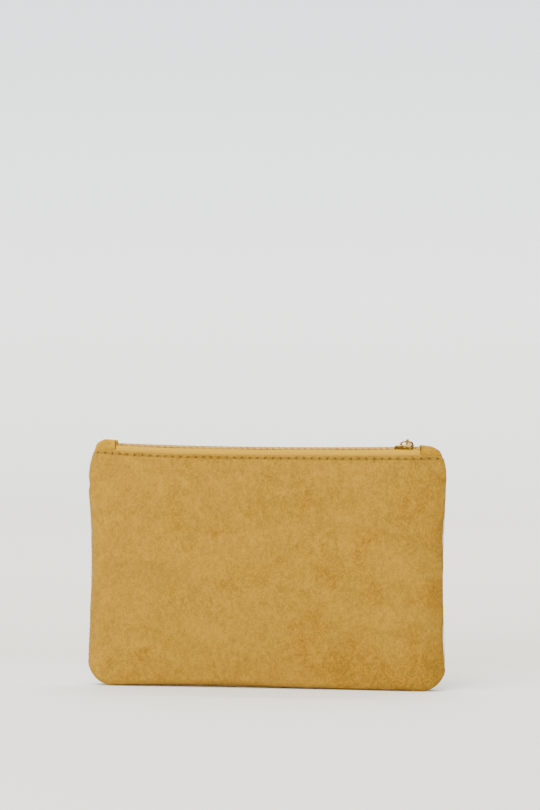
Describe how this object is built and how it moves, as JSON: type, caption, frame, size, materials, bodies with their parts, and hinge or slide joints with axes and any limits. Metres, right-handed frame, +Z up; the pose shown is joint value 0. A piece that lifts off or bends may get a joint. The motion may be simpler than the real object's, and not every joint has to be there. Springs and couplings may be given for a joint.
{
  "type": "zipped suede pouch",
  "caption": "Small flat zipped pouch in golden tan faux suede with a gold slider, standing upright on its base; the zip opens and the front wall leans out.",
  "frame": {"origin": "on the surface the pouch stands on, under the middle of its base", "axes": "+X along the zip towards its closed end, -Y out of the front wall, +Z up"},
  "size_m": [0.1797, 0.0192, 0.125],
  "materials": {
    "suede": "golden tan napped faux suede",
    "interlining": "plain bonded nonwoven",
    "lining": "plain woven lining, tan",
    "zip_tape": "woven zip tape, light tan",
    "nylon_coil": "tan nylon coil",
    "thread": "tan sewing thread",
    "gold_metal": "polished gold plate"
  },
  "bodies": {
    "bag": {"front_top_stop": "gold_metal", "back_suede_panel": "suede", "back_interlining": "interlining", "back_lining": "lining", "back_zip_tape": "zip_tape", "back_zip_coil": "nylon_coil", "back_topstitch": "thread", "back_top_stop": "gold_metal", "bottom_stop": "gold_metal", "left_end_tab": "suede", "right_end_tab": "suede", "closing_seam_thread": "thread"},
    "front_wall": {"front_suede_panel": "suede", "front_interlining": "interlining", "front_lining": "lining", "front_zip_tape": "zip_tape", "front_zip_coil": "nylon_coil", "front_topstitch": "thread"},
    "slider": {"zip_slider": "gold_metal"},
    "link": {"pull_link": "gold_metal"},
    "pull": {"pull_tab": "gold_metal"}
  },
  "joints": [
    {"name": "zip_slide", "type": "slide", "parent": "bag", "child": "slider", "axis": [1, 0, 0], "range_m": [-0.135, 0], "deforming": ["back_zip_tape", "back_zip_coil"]},
    {"name": "mouth_open", "type": "hinge", "parent": "bag", "child": "front_wall", "pos_m": [0, -0.0048, 0], "axis": [1, 0, 0], "range_deg": [0, 9], "deforming": ["front_zip_tape", "front_zip_coil"]},
    {"name": "link_swing", "type": "hinge", "parent": "slider", "child": "link", "pos_m": [0.0702, 0, 0.12358], "axis": [1, 0, 0], "range_deg": [0, 180]},
    {"name": "pull_swing", "type": "hinge", "parent": "link", "child": "pull", "pos_m": [0.0702, 0.0089, 0.12358], "axis": [1, 0, 0], "range_deg": [0, 180]}
  ],
  "couplings": [
    {"joint": "mouth_open", "follows": "zip_slide", "rad_per_m": -1.1634}
  ]
}
